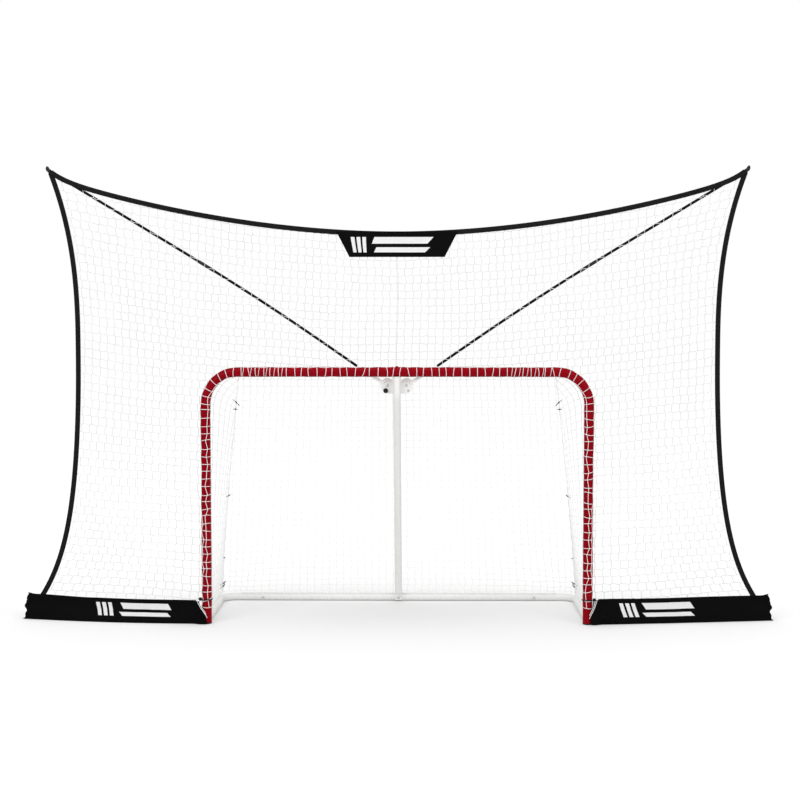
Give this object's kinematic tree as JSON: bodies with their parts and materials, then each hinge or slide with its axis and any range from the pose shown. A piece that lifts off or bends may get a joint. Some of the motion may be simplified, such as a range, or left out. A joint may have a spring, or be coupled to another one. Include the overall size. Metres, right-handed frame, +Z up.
{
  "type": "hockey goal net",
  "caption": "Full-size red tube hockey goal with a white base, a centre post and a goal net, inside a wide surround backstop net on two raised poles and two cloth-covered ground arms.",
  "frame": {"origin": "on the floor, under the middle of the whole object's box", "axes": "+Z up, the goal's mouth faces -Y, +X to the right for someone facing the mouth"},
  "size_m": [3.7416, 0.6384, 2.2433],
  "materials": {
    "red_paint": "gloss red powder coat on steel tube",
    "white_paint": "semi-gloss white powder coat on steel tube",
    "grey_steel": "plain zinc-plated steel",
    "black_plastic": "moulded black plastic",
    "black_fibreglass": "smooth black fibreglass rod",
    "black_cloth": "woven black polyester cloth and webbing",
    "white_twine": "knotted white polyester twine"
  },
  "bodies": {
    "root": {"crossbar": "red_paint", "rear_base_tube": "white_paint", "centre_post": "white_paint", "centre_post_top_bolt": "red_paint", "centre_post_foot_bolt": "grey_steel", "arm_bracket": "white_paint", "right_lock_bolt": "grey_steel", "top_binding": "black_cloth", "banner": "black_cloth", "backstop_top_net": "white_twine", "goal_back_net": "white_twine", "left_post": "red_paint", "left_foot_cap": "black_plastic", "left_base_tube": "white_paint", "left_crossbar_bolt": "red_paint", "left_base_bolt": "red_paint", "left_rear_bolt": "grey_steel", "left_ground_bracket": "red_paint", "left_hinge_pin": "grey_steel", "left_pivot_bolt": "grey_steel", "left_side_binding": "black_cloth", "left_backstop_upper_net": "white_twine", "left_backstop_lower_net": "white_twine", "left_goal_side_net": "white_twine", "right_post": "red_paint", "right_foot_cap": "black_plastic", "right_base_tube": "white_paint", "right_crossbar_bolt": "red_paint", "right_base_bolt": "red_paint", "right_rear_bolt": "grey_steel", "right_ground_bracket": "red_paint", "right_hinge_pin": "grey_steel", "right_pivot_bolt": "grey_steel", "right_side_binding": "black_cloth", "right_backstop_upper_net": "white_twine", "right_backstop_lower_net": "white_twine", "right_goal_side_net": "white_twine"},
    "left_arm": {"left_arm_socket": "white_paint", "left_lower_pole": "black_fibreglass", "left_upper_pole": "black_fibreglass", "left_pole_ferrule": "black_plastic", "left_corner_pocket": "black_cloth", "left_pole_tip": "black_plastic"},
    "right_arm": {"right_arm_socket": "white_paint", "right_lower_pole": "black_fibreglass", "right_upper_pole": "black_fibreglass", "right_pole_ferrule": "black_plastic", "right_corner_pocket": "black_cloth", "right_pole_tip": "black_plastic"},
    "lock_knob": {"left_lock_knob": "black_plastic"},
    "left_wing": {"left_ground_tube": "grey_steel", "left_ground_tube_cap": "black_plastic", "left_ground_sleeve": "black_cloth"},
    "right_wing": {"right_ground_tube": "grey_steel", "right_ground_tube_cap": "black_plastic", "right_ground_sleeve": "black_cloth"}
  },
  "joints": [
    {"name": "left_arm_drop", "type": "hinge", "parent": "root", "child": "left_arm", "pos_m": [-0.048, -0.24485, 1.175], "axis": [0, 1, 0], "range_deg": [-20, 0]},
    {"name": "right_arm_drop", "type": "hinge", "parent": "root", "child": "right_arm", "pos_m": [0.048, -0.24485, 1.175], "axis": [0, -1, 0], "range_deg": [-20, 0]},
    {"name": "left_ground_arm_swing", "type": "hinge", "parent": "root", "child": "left_wing", "pos_m": [-0.9788, -0.29085, 0.03], "axis": [0, 0, -1], "range_deg": [-15, 60]},
    {"name": "right_ground_arm_swing", "type": "hinge", "parent": "root", "child": "right_wing", "pos_m": [0.9788, -0.29085, 0.03], "axis": [0, 0, 1], "range_deg": [-15, 60]},
    {"name": "lock_knob_turn", "type": "hinge", "parent": "root", "child": "lock_knob", "pos_m": [-0.056, -0.25165, 1.149], "axis": [0, -1, 0], "continuous": true}
  ]
}
